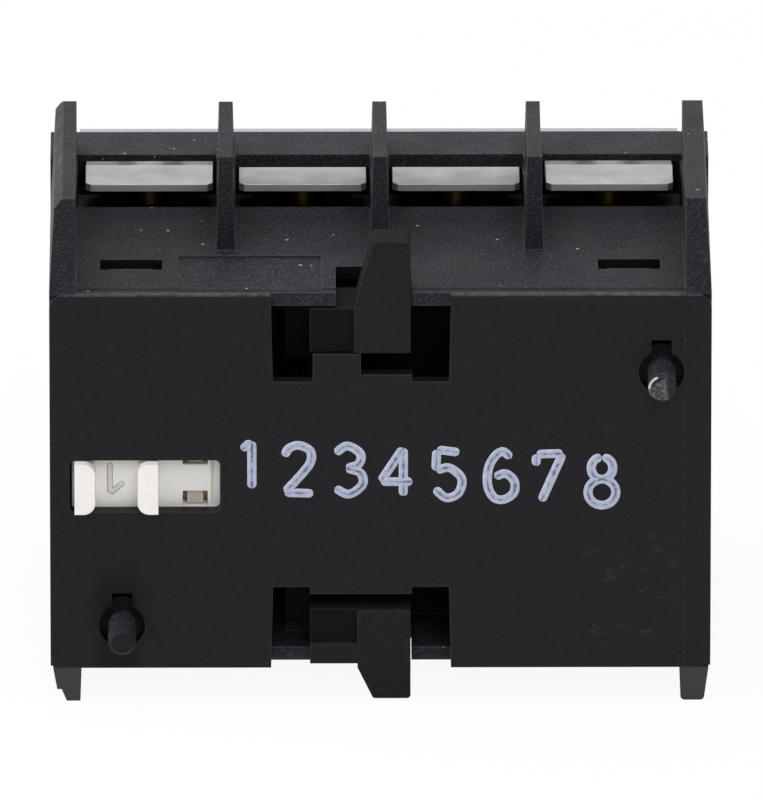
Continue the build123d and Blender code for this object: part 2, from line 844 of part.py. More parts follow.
def terminal_screw(centre):
    """Terminal screw with a slotted cross recess and a chamfered end."""
    seat = clamp_levels()[1]
    head = post(centre, screw_depth, (seat, seat + head_height), head_diameter)
    head = chamfer(head.edges().filter_by(GeomType.CIRCLE).sort_by(Axis.Z)[-1], head_bevel)
    shank = post(centre, screw_depth, (seat - screw_length, seat), screw_diameter)
    shank = chamfer(shank.edges().filter_by(GeomType.CIRCLE).sort_by(Axis.Z)[0], shank_bevel)
    top = seat + head_height
    half = recess_width / 2
    recess_z = (top - recess_depth, top)
    slot_x = (centre - head_diameter, centre + head_diameter)
    slot = slab(slot_x, (screw_depth - half, screw_depth + half), recess_z)
    cross_run = (screw_depth - recess_reach, screw_depth + recess_reach)
    cross = slab((centre - half, centre + half), cross_run, recess_z)
    return head + shank - slot - cross


def marker_strip():
    """Bare pale strip on the front's top edge."""
    half = inner_x - marker_side_gap
    z_run = (roof_z - marker_below, roof_z + marker_above)
    return slab((-half, half), (depth - marker_thickness, depth), z_run)


def coil(left, length, place_depth, place_z, diameter, wire, turns):
    """Coil spring along X: a round wire swept along a helix."""
    radius = (diameter - wire) / 2
    run = length - wire - 2 * spring_gap
    helix = Helix(pitch=run / turns, height=run, radius=radius)
    section = Plane(origin=helix @ 0, z_dir=helix % 0) * RegularPolygon(wire / 2, 4)
    spring = sweep(section, path=helix, is_frenet=True)
    start = left + spring_gap + wire / 2
    return Pos(start, face_y + place_depth, place_z) * Rot(0, 90, 0) * spring


def springs():
    """All four springs, by name."""
    make_left = carrier_windows()[0][0]
    break_left = break_bar_left() + bridge_thickness
    contact_wire = (contact_spring_diameter, contact_spring_wire, contact_spring_turns)
    locking_wire = (locking_spring_diameter, locking_spring_wire, locking_spring_turns)
    return_wire = (return_spring_diameter, return_spring_wire, return_spring_turns)
    locking_left = lug_left - locking_spring_length
    return {
        "make_bridge_spring": coil(
            make_left, contact_spring_length, contact_depth, carrier_z, *contact_wire
        ),
        "break_bridge_spring": coil(
            break_left, contact_spring_length, contact_depth, carrier_z, *contact_wire
        ),
        "locking_spring": coil(
            locking_left, locking_spring_length, locking_spring_depth, locking_spring_z, *locking_wire
        ),
        "return_spring": coil(
            return_lug_x, return_spring_length, return_spring_depth, carrier_z, *return_wire
        ),
    }


parts = {
    "housing": housing(),
    "base_plate": base_plate(),
    "locking_slide": locking_slide(),
    "actuator_slider": actuator_slider(),
    "contact_carrier": contact_carrier(),
    "make_bridge": bridge(make_bar_left()),
    "make_bridge_tips": tips(make_bar_left() + bridge_thickness),
    "break_bridge": bridge(break_bar_left()),
    "break_bridge_tips": tips(break_bar_left() - tip_height),
    "fixed_tips": tips(-ear_outer - tip_height) + tips(ear_outer),
    "marker_strip": marker_strip(),
    **springs(),
}
for number, centre in enumerate(terminal_centres, start=1):
    parts[f"terminal_strip_{number}"] = strip(number - 1)
    parts[f"clamp_plate_{number}"] = clamp_plate(centre)
    parts[f"terminal_screw_{number}"] = terminal_screw(centre)

for name, part in parts.items():
    export_step(part, f"parts/{name}.step")
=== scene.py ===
import math

import bpy
import numpy as np
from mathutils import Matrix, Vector


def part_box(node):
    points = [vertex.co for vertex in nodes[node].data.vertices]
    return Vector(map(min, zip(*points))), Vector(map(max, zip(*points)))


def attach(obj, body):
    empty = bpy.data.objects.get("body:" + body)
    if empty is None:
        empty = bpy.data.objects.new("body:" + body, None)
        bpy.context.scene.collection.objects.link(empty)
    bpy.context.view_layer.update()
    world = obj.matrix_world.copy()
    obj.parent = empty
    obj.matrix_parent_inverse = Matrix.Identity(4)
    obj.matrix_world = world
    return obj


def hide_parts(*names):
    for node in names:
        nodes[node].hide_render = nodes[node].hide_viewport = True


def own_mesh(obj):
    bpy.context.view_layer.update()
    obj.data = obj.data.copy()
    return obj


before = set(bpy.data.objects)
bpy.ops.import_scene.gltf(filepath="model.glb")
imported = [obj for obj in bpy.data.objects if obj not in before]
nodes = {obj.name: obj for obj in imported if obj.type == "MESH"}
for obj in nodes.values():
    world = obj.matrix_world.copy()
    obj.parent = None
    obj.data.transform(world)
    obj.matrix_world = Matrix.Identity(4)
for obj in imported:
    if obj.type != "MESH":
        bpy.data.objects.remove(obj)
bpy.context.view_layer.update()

# Camera
# A long lens looks down on the block from 21 degrees above, almost square to its mounting face. Lines
# along the depth draw together only a little in the photograph, so the camera stands far off. The aim is
# the middle of the picture, which shows about 14.7 pixels to the millimetre.
camera_rise = math.radians(21.0)
camera_turn = math.radians(-0.25)
camera_distance = 2.0
picture_width = 0.05186
sensor_width = 36.0
aim = Vector((0.00007, -0.01335, 0.02194))

lens = bpy.data.cameras.new("camera")
lens.sensor_fit = "HORIZONTAL"
lens.sensor_width = sensor_width
lens.lens = sensor_width * camera_distance / picture_width
lens.clip_start = 0.1
lens.clip_end = 20.0
camera = bpy.data.objects.new("camera", lens)
level = math.cos(camera_rise)
back = Vector((level * math.sin(camera_turn), -level * math.cos(camera_turn), math.sin(camera_rise)))
camera.location = aim + camera_distance * back
camera.rotation_euler = (math.pi / 2 - camera_rise, 0.0, camera_turn)
bpy.context.scene.collection.objects.link(camera)
bpy.context.scene.camera = camera
bpy.context.scene.view_settings.view_transform = "Standard"


# Floor
# A pale matt table that runs out of the picture on all sides. It shows white to the camera and in
# reflections, and a part of its own lit surface is mixed in, so that the feet keep a soft shadow.
floor_half = 4.0
floor_colour = "#f2f2f2"
white_share = 0.93


def colour(code):
    """An sRGB hex value as linear red, green, blue and alpha."""
    parts = np.array([int(code[i:i + 2], 16) for i in (1, 3, 5)]) / 255
    linear = np.where(parts <= 0.04045, parts / 12.92, ((parts + 0.055) / 1.055) ** 2.4)
    return (*linear.tolist(), 1.0)


def add_node(tree, kind, inputs=(), **settings):
    """Adds a node, sets its properties, and fills each named input with a value or a link."""
    node = tree.nodes.new(kind)
    for name, value in settings.items():
        setattr(node, name, value)
    for name, value in dict(inputs).items():
        if isinstance(value, bpy.types.NodeSocket):
            tree.links.new(value, node.inputs[name])
        else:
            node.inputs[name].default_value = value
    return node


def new_material(name):
    """An empty material with its node tree."""
    material = bpy.data.materials.new(name)
    material.use_nodes = True
    material.node_tree.nodes.clear()
    return material, material.node_tree


def seen_directly(tree):
    """1 for rays from the camera and in reflections or refractions, and 0 for light on its way."""
    path = add_node(tree, "ShaderNodeLightPath")
    shiny = add_node(tree, "ShaderNodeMath", {
        0: path.outputs["Is Camera Ray"], 1: path.outputs["Is Glossy Ray"]}, operation="MAXIMUM")
    return add_node(tree, "ShaderNodeMath", {
        0: shiny.outputs[0], 1: path.outputs["Is Transmission Ray"]}, operation="MAXIMUM").outputs[0]


floor_material, tree = new_material("matt_white_table")
white = add_node(tree, "ShaderNodeEmission", {"Color": colour("#ffffff"), "Strength": 1.0})
lit = add_node(tree, "ShaderNodeBsdfDiffuse", {"Color": colour(floor_colour)})
share = add_node(tree, "ShaderNodeMath", {0: seen_directly(tree), 1: white_share}, operation="MULTIPLY")
mixed = add_node(tree, "ShaderNodeMixShader", {0: share.outputs[0], 1: lit.outputs[0], 2: white.outputs[0]})
add_node(tree, "ShaderNodeOutputMaterial", {"Surface": mixed.outputs[0]})

floor_mesh = bpy.data.meshes.new("floor")
corners = [(-floor_half, -floor_half, 0), (floor_half, -floor_half, 0), (floor_half, floor_half, 0),
           (-floor_half, floor_half, 0)]
floor_mesh.from_pydata(corners, [], [(0, 1, 2, 3)])
floor = bpy.data.objects.new("floor", floor_mesh)
floor_mesh.materials.append(floor_material)
bpy.context.scene.collection.objects.link(floor)

# Light
# One large softbox hangs over the block, one stands at its left, and a fill comes from over the
# camera. The room lights it with a plain grey, and shows white in reflections.
softboxes = (
    ("overhead", (0.0, -0.12, 0.80), (0.0, 0.0, 0.02), 0.70, 3.2),
    ("left", (-0.90, -0.05, 0.32), (0.0, 0.0, 0.03), 1.10, 11.0),
    ("fill", (0.15, -0.90, 0.80), (0.0, 0.0, 0.02), 0.60, 4.4),
)
room_grey = "#8c8c90"

for name, place, target, size, power in softboxes:
    light = bpy.data.lights.new(name, "AREA")
    light.shape = "SQUARE"
    light.size = size
    light.energy = power
    lamp = bpy.data.objects.new(name, light)
    lamp.location = place
    lamp.rotation_euler = (Vector(target) - Vector(place)).to_track_quat("-Z", "Y").to_euler()
    bpy.context.scene.collection.objects.link(lamp)

world = bpy.data.worlds.new("studio")
world.use_nodes = True
world.node_tree.nodes.clear()
bpy.context.scene.world = world
tree = world.node_tree
room = add_node(tree, "ShaderNodeBackground", {"Color": colour(room_grey), "Strength": 1.0})
backdrop = add_node(tree, "ShaderNodeBackground", {"Color": colour("#ffffff"), "Strength": 1.0})
mixed = add_node(tree, "ShaderNodeMixShader", {
    0: seen_directly(tree), 1: room.outputs[0], 2: backdrop.outputs[0]})
add_node(tree, "ShaderNodeOutputWorld", {"Surface": mixed.outputs[0]})


# Casing
# One moulding of black glass-filled polyamide: end walls, insulating fins, the bar over the terminals
# and both locating pins. Its spark-eroded mould left an even, sparkling grain, which is drawn coarser
# than it is, so that it shows. Its sparkle is painted glint: paler grains, weaker on faces that look to
# the front, so that upper faces read lighter.
millimetre = 0.001
crisp = 0.05
soft = 0.1
casing_dark = "#141217"
casing_light = "#2c292f"
casing_grain = 0.15
casing_relief = 0.022
glint_grain = 0.20
glint_front_loss = 0.45
edge_radius = 0.12
dust_grey = "#a3a3a1"
# Paler and darker places, as lowest and highest millimetres along one axis
floor_lit_feet_height = (-1.0, 2.2)
right_pin_width = (18.0, 21.0)
right_pin_end = (-17.0, -16.2)
left_pin_width = (-20.0, -15.0)
left_pin_end = (-17.0, -16.4)
inner_width = (-20.5, 20.5)
inner_depth = (-12.2, 3.0)
inner_height = (4.0, 27.5)
inner_front_height = (4.0, 29.5)
joint_depth = (-12.5, -12.1)
joint_height = (29.4, 29.7)
bay_width = (-21.0, 21.0)
bay_depth = (9.0, 15.5)
bay_floor = (25.0, 26.1)


def grained(tree, size_mm, low, high, detail=2.0, stretch=(1.0, 1.0, 1.0)):
    """Noise on Object coordinates, with grains of a real size, mapped from low to high."""
    place = add_node(tree, "ShaderNodeTexCoord")
    turned = add_node(tree, "ShaderNodeMapping", {"Vector": place.outputs["Object"], "Scale": stretch})
    noise = add_node(tree, "ShaderNodeTexNoise", {
        "Vector": turned.outputs[0], "Scale": 1 / (size_mm * millimetre), "Detail": detail, "Roughness": 0.6})
    return add_node(tree, "ShaderNodeMapRange", {
        "Value": noise.outputs["Fac"], "From Min": 0.3, "From Max": 0.7,
        "To Min": low, "To Max": high}).outputs[0]


def soft_edge(tree, radius_mm, height, depth_mm):
    """Normal that rounds the edges and adds a grain of a real depth."""
    edge = add_node(tree, "ShaderNodeBevel", {"Radius": radius_mm * millimetre}, samples=6)
    bump = add_node(tree, "ShaderNodeBump", {
        "Height": height, "Distance": depth_mm * millimetre, "Strength": 1.0, "Normal": edge.outputs[0]})
    return bump.outputs[0]


def moulding(name, dark, light, grain_mm, depth_mm, rough, gloss, edge_mm=0.12):
    """Moulded plastic: a grained colour, a rougher and smoother drift, and softly rounded edges."""
    material, tree = new_material(name)
    grain = grained(tree, grain_mm, 0.0, 1.0)
    base = add_node(tree, "ShaderNodeMix", {0: grain, 6: colour(dark), 7: colour(light)}, data_type="RGBA")
    surface = add_node(tree, "ShaderNodeBsdfPrincipled", {
        "Base Color": base.outputs[2],
        "Roughness": grained(tree, 3.0, rough - 0.06, rough + 0.06),
        "Specular IOR Level": gloss,
        "Normal": soft_edge(tree, edge_mm, grain, depth_mm)})
    add_node(tree, "ShaderNodeOutputMaterial", {"Surface": surface.outputs[0]})
    return material, tree, surface


def laid_over(tree, surface, share, code):
    """Lays another colour over the one so far, with a share from 0 to 1."""
    under = surface.inputs["Base Color"].links[0].from_socket
    mix = add_node(tree, "ShaderNodeMix", {0: share, 6: under, 7: colour(code)}, data_type="RGBA")
    tree.links.new(mix.outputs[2], surface.inputs["Base Color"])


def edges(tree, radius_mm, most):
    """From 0 on flat faces up to the most along sharp edges, by how far a rounded normal leans."""
    rounded = add_node(tree, "ShaderNodeBevel", {"Radius": radius_mm * millimetre}, samples=6)
    face = add_node(tree, "ShaderNodeNewGeometry")
    lean = add_node(tree, "ShaderNodeVectorMath", {
        0: rounded.outputs[0], 1: face.outputs["True Normal"]}, operation="DOT_PRODUCT")
    return add_node(tree, "ShaderNodeMapRange", {
        "Value": lean.outputs["Value"], "From Min": 0.98, "From Max": 0.8, "To Max": most}).outputs[0]


def dust(tree, cell_mm, largest_mm, bare):
    """1 on scattered round specks: one point to each cell, and a share of the cells left bare."""
    place = add_node(tree, "ShaderNodeTexCoord")
    cells = add_node(tree, "ShaderNodeTexVoronoi", {
        "Vector": place.outputs["Object"], "Scale": 1 / (cell_mm * millimetre)})
    size = add_node(tree, "ShaderNodeMapRange", {
        "Value": cells.outputs["Color"], "From Min": bare, "From Max": 0.9, "To Max": largest_mm / cell_mm})
    return add_node(tree, "ShaderNodeMath", {
        0: cells.outputs["Distance"], 1: size.outputs[0]}, operation="LESS_THAN").outputs[0]


def between(tree, axis, low, high, soft):
    """1 where a coordinate in millimetres lies between two values, and fading outside them."""
    place = add_node(tree, "ShaderNodeTexCoord")
    value = add_node(tree, "ShaderNodeSeparateXYZ", {0: place.outputs["Object"]}).outputs[axis]
    above, below = (add_node(tree, "ShaderNodeMapRange", {
        "Value": value, "From Min": (limit + step) * millimetre, "From Max": limit * millimetre}).outputs[0]
        for limit, step in ((low, -soft), (high, soft)))
    return add_node(tree, "ShaderNodeMath", {0: above, 1: below}, operation="MINIMUM").outputs[0]


def product(tree, *shares):
    """All shares multiplied."""
    total = shares[0]
    for share in shares[1:]:
        total = add_node(tree, "ShaderNodeMath", {0: total, 1: share}, operation="MULTIPLY").outputs[0]
    return total


def frontal(tree):
    """1 on faces that look to the front, and 0 on all others."""
    face = add_node(tree, "ShaderNodeNewGeometry")
    along = add_node(tree, "ShaderNodeSeparateXYZ", {0: face.outputs["True Normal"]}).outputs["Y"]
    return add_node(tree, "ShaderNodeMapRange", {
        "Value": along, "From Min": -0.3, "From Max": -0.6}).outputs[0]


casing, tree, surface = moulding(
    "spark_eroded_polyamide", casing_dark, casing_light, casing_grain, casing_relief, 0.50, 0.10)
# Painted glint and top light: paler grains over the colour, weaker on faces that look to the front.
painted_top_glint = add_node(tree, "ShaderNodeMath", {
    0: frontal(tree), 1: -glint_front_loss, 2: 1.0}, operation="MULTIPLY_ADD").outputs[0]
laid_over(tree, surface, product(tree, painted_top_glint, grained(tree, glint_grain, -0.9, 0.9)), "#4a474c")
# Paler along sharp edges: partly worn edges, partly a painted edge highlight.
laid_over(tree, surface, edges(tree, edge_radius, 0.8), "#605e63")
# Painted light: the feet are painted paler, as light thrown up from the pale floor.
laid_over(tree, surface, between(tree, "Z", *floor_lit_feet_height, 0.6), "#3c3b3e")
broken_end = product(tree, between(tree, "X", *right_pin_width, soft),
                     between(tree, "Y", *right_pin_end, crisp))
laid_over(tree, surface, broken_end, "#3a3839")
laid_over(tree, surface, product(tree, broken_end, grained(tree, 0.24, -0.4, 0.8)), "#767370")
whole_end = product(tree, between(tree, "X", *left_pin_width, soft),
                    between(tree, "Y", *left_pin_end, crisp))
laid_over(tree, surface, whole_end, "#1a191c")
# Painted shade: faces inside the casing, behind the plate, are painted near black, and their front faces too.
painted_inner_shade = product(tree, between(tree, "X", *inner_width, soft), between(tree, "Y", *inner_depth, soft))
laid_over(tree, surface, product(tree, painted_inner_shade, between(tree, "Z", *inner_height, soft)), "#0a0a0b")
painted_inner_front_shade = product(tree, painted_inner_shade, between(tree, "Z", *inner_front_height, crisp), frontal(tree))
laid_over(tree, surface, painted_inner_front_shade, "#0e0e0f")
# Painted shade: a dark line along the joint where the plate meets the roof, as the gap's shade.
joint_gap_shade = product(tree, between(tree, "Y", *joint_depth, crisp), between(tree, "Z", *joint_height, crisp))
laid_over(tree, surface, joint_gap_shade, "#0b0b0c")
# Painted light: the floors of the terminal bays are painted a paler grained grey, which stands in for light
# that hardly reaches them.
painted_bay_light = product(tree, between(tree, "X", *bay_width, 0.2), between(tree, "Y", *bay_depth, 0.2),
              between(tree, "Z", *bay_floor, crisp))
laid_over(tree, surface, product(tree, painted_bay_light, grained(tree, 1.5, 0.2, 1.0)), "#6c6a65")
laid_over(tree, surface, dust(tree, 0.9, 0.12, 0.68), dust_grey)
nodes["housing"].material_slots[0].material = casing

# Rear plate
# A flat moulding of black polyamide that snaps into the casing. Its mould was only ground, so the
# face is smoother and darker than the casing. It has scuffs, and a faint joint of the mould.
rim_height = (29.5, 30.0)
scuffed_width = (14.5, 19.5)
scuffed_height = (4.5, 11.0)
mould_joint = (20.67, 20.71)
pin_shadow_width = (-18.9, -16.9)
pin_shadow_height = (3.4, 7.4)

plate, tree, surface = moulding("ground_mould_polyamide", "#111114", "#1a1a1e", 0.16, 0.006, 0.50, 0.15)
# Paler along sharp edges: partly worn edges, partly a painted edge highlight.
laid_over(tree, surface, edges(tree, edge_radius, 0.6), "#4a494e")
lit_rim = product(tree, between(tree, "Z", *rim_height, crisp), grained(tree, 0.5, 0.1, 0.9))
laid_over(tree, surface, lit_rim, "#504f54")
scuffs = product(tree, between(tree, "X", *scuffed_width, 1.0), between(tree, "Z", *scuffed_height, 1.5),
                 grained(tree, 1.0, -1.9, 0.8, 4.0, (0.6, 1.0, 1.2)))
laid_over(tree, surface, scuffs, "#303036")
joint_line = product(tree, between(tree, "X", *mould_joint, 0.03), grained(tree, 0.3, -0.2, 0.7))
laid_over(tree, surface, joint_line, "#34343a")
# Painted shadow: a soft dark patch on the plate around the left pin.
painted_pin_shadow = product(tree, between(tree, "X", *pin_shadow_width, 0.9), between(tree, "Z", *pin_shadow_height, 3.4))
laid_over(tree, surface, painted_pin_shadow, "#09090b")
laid_over(tree, surface, dust(tree, 0.8, 0.11, 0.64), dust_grey)
nodes["base_plate"].material_slots[0].material = plate

# Locking slide
# One black polyamide moulding with a hook at the top and at the bottom, which slides sideways behind
# the plate. Its front faces behind the plate's face are painted darker, as painted shade in the recess,
# and its edges are a little paler, partly worn and partly a painted edge highlight.
shaded_depth = (-13.1, 20.0)

slide, tree, surface = moulding("rubbed_polyamide", "#1c1c1f", "#262629", 0.2, 0.004, 0.80, 0.05)
# Painted shade: front faces that lie deeper than the plate's face are painted darker.
painted_recess_shade = product(tree, between(tree, "Y", *shaded_depth, soft), frontal(tree))
laid_over(tree, surface, painted_recess_shade, "#121214")
# Paler along sharp edges: partly worn edges, partly a painted edge highlight.
laid_over(tree, surface, edges(tree, 0.10, 0.5), "#48474b")
laid_over(tree, surface, dust(tree, 0.9, 0.09, 0.80), dust_grey)
nodes["locking_slide"].material_slots[0].material = slide

# Slider
# White moulded polyacetal, which is smooth and slightly waxy. Its two tabs drive it from outside. The
# floor behind the window is painted an evener white of its own, as faint painted shade of the recess.
slider_floor_depth = (-12.6, 0.0)

white_acetal, tree, surface = moulding("moulded_acetal", "#e8e4de", "#efece7", 0.5, 0.002, 0.42, 0.4, 0.1)
# Painted shade: the floor behind the window gets its own, evener white.
painted_floor_shade = product(tree, between(tree, "Y", *slider_floor_depth, 0.3), grained(tree, 2.0, 0.7, 1.0))
laid_over(tree, surface, painted_floor_shade, "#eeece5")
nodes["actuator_slider"].material_slots[0].material = white_acetal

# Contact carrier
# A beige moulding of thermoset, which stands heat and has a dull, slightly mottled skin. Only two ends
# of it show, in the slider's slot.
thermoset, *_ = moulding("moulded_thermoset", "#bcb2a4", "#cfc6b8", 0.4, 0.004, 0.55, 0.4)
nodes["contact_carrier"].material_slots[0].material = thermoset

# Marker strip
# A bare strip of pale grey polycarbonate, smooth and even, that lies in a seat along the front's top
# edge.
marker, *_ = moulding("moulded_polycarbonate", "#a4a6aa", "#b2b4b8", 0.5, 0.002, 0.35, 0.2)
nodes["marker_strip"].material_slots[0].material = marker


# Clamps and screws
# Stamped steel clamps and cold-headed screws, bright zinc plated. The plating keeps the matt grain of
# the sheet, and is only partly metallic, so the clamps show no clear reflection. Their far part under the
# bar is painted grey as the bar's painted shadow, their front faces are painted greyer as painted shade,
# and the screws' shanks are painted dark as painted shade in the cavity.
def plated_metal(name, dark, light, grain_mm, depth_mm, rough, metallic=1.0, edge_mm=0.12):
    """Metal with a grained colour and roughness and softly rounded edges. Metallic below 1 dulls it."""
    material, tree = new_material(name)
    grain = grained(tree, grain_mm, 0.0, 1.0)
    base = add_node(tree, "ShaderNodeMix", {0: grain, 6: colour(dark), 7: colour(light)}, data_type="RGBA")
    surface = add_node(tree, "ShaderNodeBsdfPrincipled", {
        "Base Color": base.outputs[2],
        "Metallic": metallic,
        "Roughness": grained(tree, 1.2, rough - 0.05, rough + 0.05),
        "Normal": soft_edge(tree, edge_mm, grain, depth_mm)})
    add_node(tree, "ShaderNodeOutputMaterial", {"Surface": surface.outputs[0]})
    return material, tree, surface


bar_shadow_depth = (6.8, 20.0)
bar_shadow_border = 2.2
shaded_shank_height = (0.0, 29.0)

zinc_sheet, tree, surface = plated_metal(
    "zinc_plated_sheet", "#eef0f2", "#f8fafc", 0.12, 0.001, 0.34, metallic=0.70, edge_mm=0.05)
# Painted shadow of the bar: the clamps' far part is painted grey.
painted_bar_shadow = product(tree, between(tree, "Y", *bar_shadow_depth, bar_shadow_border), grained(tree, 3.0, 0.6, 0.9))
laid_over(tree, surface, painted_bar_shadow, "#b4b6b8")
# Painted shade: the clamps' front faces are painted greyer.
laid_over(tree, surface, frontal(tree), "#c0c2c4")
zinc_screw, tree, surface = plated_metal(
    "zinc_plated_screw", "#d6d8da", "#e4e6e8", 0.12, 0.002, 0.35, metallic=0.70)
# Painted shade: below their heads the screws are painted dark brown, as they stand in the shaded cavity.
laid_over(tree, surface, between(tree, "Z", *shaded_shank_height, 0.3), "#4e4a42")
for number in range(1, 5):
    nodes[f"clamp_plate_{number}"].material_slots[0].material = zinc_sheet
    nodes[f"terminal_screw_{number}"].material_slots[0].material = zinc_screw

# Terminal strips and contacts
# Stamped brass strips and copper bridges with the dull shine of rolled sheet, and headed silver tips,
# which are the palest. The casing hides them, apart from a glint of brass below the clamps.
brass, *_ = plated_metal("rolled_brass", "#a08349", "#bb9f62", 0.15, 0.002, 0.42)
copper, *_ = plated_metal("rolled_copper", "#a3663f", "#c08056", 0.15, 0.002, 0.32)
silver, *_ = plated_metal("headed_silver", "#cfccc6", "#e2dfda", 0.10, 0.002, 0.30)
for number in range(1, 5):
    nodes[f"terminal_strip_{number}"].material_slots[0].material = brass
for name in ("make_bridge", "break_bridge"):
    nodes[name].material_slots[0].material = copper
    nodes[f"{name}_tips"].material_slots[0].material = silver
nodes["fixed_tips"].material_slots[0].material = silver

# Springs
# Music wire coils, oiled dark. Three of them shorten as the part that they push on moves, which a CAD
# solid can't do, so a coil of the same form stands for each.
ring = 8
rings_per_turn = 24
# Name, body, joint, seated end along X (0 low, 1 high), travel and wire in millimetres, turns
springs = (
    ("return_spring", "block", "actuator_slide", 1, 3.0, 0.35, 5),
    ("locking_spring", "block", "latch_slide", 0, 1.2, 0.35, 4),
    ("make_bridge_spring", "actuator", "actuator_slide", 0, 0.82, 0.30, 3),
)


def new_piece(name, vertices, faces, material, body):
    """A piece with a mesh in the frame's place, riding on a body."""
    mesh = bpy.data.meshes.new(name)
    mesh.from_pydata(vertices.tolist(), [], faces.tolist())
    mesh.materials.append(material)
    mesh.shade_smooth()
    piece = bpy.data.objects.new(name, mesh)
    bpy.context.scene.collection.objects.link(piece)
    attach(piece, body)
    return piece


def coil(low, high, thickness, turns):
    """Closed round wire on a helix along X that fills a box: at the angle a the line's middle stands at
    the radius times (sin a, -cos a) in Y and Z, and a grows evenly along X."""
    angle = np.linspace(0, 2 * np.pi * turns, rings_per_turn * turns + 1)
    run = high[0] - low[0] - thickness
    radius = (high[1] - low[1] - thickness) / 2
    zero = np.zeros_like(angle)
    outward = np.stack([zero, np.sin(angle), -np.cos(angle)], axis=1)
    middle = np.stack([low[0] + thickness / 2 + run * angle / angle[-1], zero + (low[1] + high[1]) / 2,
                       zero + (low[2] + high[2]) / 2], axis=1) + radius * outward
    along = np.stack([zero + run / angle[-1], radius * np.cos(angle), radius * np.sin(angle)], axis=1)
    along /= np.linalg.norm(along, axis=1)[:, None]
    across = np.cross(along, outward)
    turn = np.arange(ring) * 2 * np.pi / ring
    round_section = (np.cos(turn)[None, :, None] * outward[:, None]
                     + np.sin(turn)[None, :, None] * across[:, None])
    vertices = middle[:, None] + thickness / 2 * round_section
    i, j = np.meshgrid(np.arange(len(angle) - 1), np.arange(ring), indexing="ij")
    k = (j + 1) % ring
    sides = np.stack([i * ring + j, i * ring + k, (i + 1) * ring + k, (i + 1) * ring + j], axis=-1)
    cap = np.array([[0, 1, 2, 3], [0, 3, 4, 7], [4, 5, 6, 7]])
    last = (len(angle) - 1) * ring
    return vertices.reshape(-1, 3), np.vstack([sides.reshape(-1, 4), cap[:, ::-1], cap + last])


wire, *_ = plated_metal("oiled_spring_steel", "#2c2c2e", "#454548", 0.05, 0.001, 0.34)
nodes["break_bridge_spring"].material_slots[0].material = wire
for name, body, joint, seat, travel, thickness, turns in springs:
    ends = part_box(name)
    low, high = (np.array(end) for end in ends)
    vertices, quads = coil(low, high, thickness * millimetre, turns)
    piece = new_piece(name.replace("spring", "coil"), vertices, quads, wire, body)
    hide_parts(name)
    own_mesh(piece)

# Stamped digits
# Eight plain digits, 1 to 8, stamped on the plate in pale ink. Each stroke is a flat crowned bead, and
# the ink is thinner, so darker, along its middle.
digit_height = 4.15
stroke_half = 0.32
ink_rise = 0.02
rise_step = 0.3
stroke_points = 48
tip_share = 0.02
# Left edge and foot of each digit, in the photograph's pixels
digit_places = ((230, 492.5), (279, 497.6), (329, 498.3), (376, 500.3), (428, 502.0), (481, 504.0),
                (529, 505.9), (582, 509.8))
pixels_per_mm = 14.67
face_middle = 380.5
plate_top_row = 295.0
row_scale = 0.934
face_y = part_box("base_plate")[0].y / millimetre
roof_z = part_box("base_plate")[1].z / millimetre
loop = np.linspace(0, 2 * np.pi, 13)
# Each glyph's strokes, as points that a smooth line passes, in a box one high with y up
glyphs = (
    (((0.14, 0.80), (0.34, 0.98)), ((0.34, 0.98), (0.34, 0.0))),
    (((0.02, 0.76), (0.10, 0.93), (0.30, 1.0), (0.52, 0.88), (0.52, 0.64), (0.30, 0.34), (0.02, 0.02)),
     ((0.02, 0.02), (0.58, 0.0))),
    (((0.03, 0.84), (0.26, 1.0), (0.52, 0.84), (0.48, 0.62), (0.24, 0.54)),
     ((0.24, 0.54), (0.52, 0.44), (0.56, 0.20), (0.30, 0.0), (0.02, 0.13))),
    (((0.44, 0.0), (0.44, 1.0)), ((0.44, 1.0), (0.0, 0.30)), ((0.0, 0.30), (0.62, 0.30))),
    (((0.52, 0.94), (0.08, 1.0)), ((0.08, 1.0), (0.06, 0.56)),
     ((0.06, 0.56), (0.32, 0.62), (0.56, 0.40), (0.50, 0.10), (0.26, 0.0), (0.03, 0.20))),
    (((0.50, 0.86), (0.30, 1.0), (0.08, 0.74), (0.03, 0.34), (0.14, 0.06), (0.34, 0.0), (0.54, 0.14),
      (0.55, 0.38), (0.38, 0.54), (0.16, 0.46)),),
    (((0.04, 0.74), (0.05, 0.98)), ((0.05, 0.98), (0.56, 1.0)), ((0.56, 1.0), (0.14, 0.0))),
    (tuple((0.29 + 0.21 * math.sin(a), 0.77 + 0.23 * math.cos(a)) for a in loop),
     tuple((0.29 + 0.27 * math.sin(a), 0.27 + 0.27 * math.cos(a)) for a in loop)),
)


def smooth_line(points, count):
    """Points on a curve through the given ones: each span is the cubic whose end slopes are half the
    distance between the neighbours on both sides."""
    p = np.array(points, float)
    p = np.vstack([2 * p[0] - p[1], p, 2 * p[-1] - p[-2]])
    t = np.linspace(0, len(points) - 1, count)
    i = np.minimum(t.astype(int), len(points) - 2)
    f = (t - i)[:, None]
    a, b, c, d = p[i], p[i + 1], p[i + 2], p[i + 3]
    return b + f * (c - a) / 2 + f**2 * (a - 2.5 * b + 2 * c - d / 2) + f**3 * (3 * (b - c) + d - a) / 2


